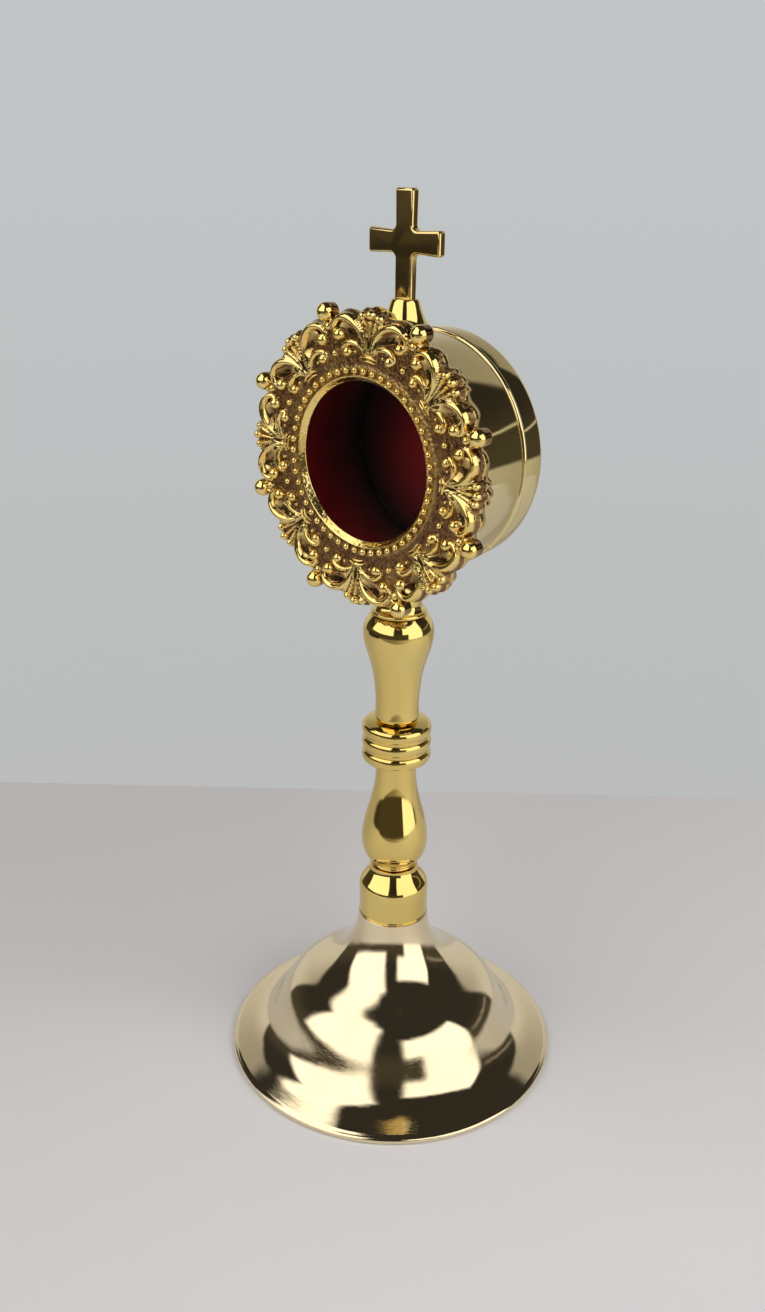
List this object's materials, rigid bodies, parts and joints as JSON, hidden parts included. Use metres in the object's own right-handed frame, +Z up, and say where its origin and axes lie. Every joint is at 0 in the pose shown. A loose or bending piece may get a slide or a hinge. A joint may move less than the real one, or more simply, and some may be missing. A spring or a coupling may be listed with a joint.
{
  "type": "reliquary monstrance",
  "caption": "Free-standing ceremonial display case for a relic: spun foot, turned stem, round glazed case with ornamental bezel, slip-on back cover and a cross on top.",
  "frame": {"origin": "centre of the foot's rim, on the surface the object stands on", "axes": "+Z up along the stem to the cross; the glazed window of the case faces -Y and the back cover pulls off towards +Y"},
  "size_m": [0.09, 0.09, 0.2293],
  "materials": {
    "pale_brass": "polished and lacquered, pale gold",
    "stem_brass": "polished and lacquered, yellow gold",
    "cast_brass": "polished cast ornament with brown patina in the recesses",
    "case_brass": "polished and lacquered sheet",
    "steel": "zinc plated",
    "clear_glass": "clear flat glass",
    "red_velvet": "deep red velvet",
    "card": "grey-brown board"
  },
  "bodies": {
    "stand": {"foot_shell": "pale_brass", "foot_washer": "steel", "foot_nut": "steel", "tie_rod": "steel", "lower_collar": "stem_brass", "lower_baluster": "stem_brass", "ringed_knop": "stem_brass", "upper_baluster": "stem_brass", "case_saddle": "stem_brass", "case_barrel": "case_brass", "spigot_sleeve": "case_brass", "bezel_frame": "cast_brass", "glass_disc": "clear_glass", "glass_ring": "case_brass", "lining_band": "red_velvet", "finial_socket": "stem_brass", "cross": "stem_brass"},
    "cover": {"back_cover": "case_brass", "backing_card": "card", "lining_disc": "red_velvet"}
  },
  "joints": [
    {"name": "back_cover_slide", "type": "slide", "parent": "stand", "child": "cover", "axis": [0, 1, 0], "range_m": [0, 0.03]}
  ]
}
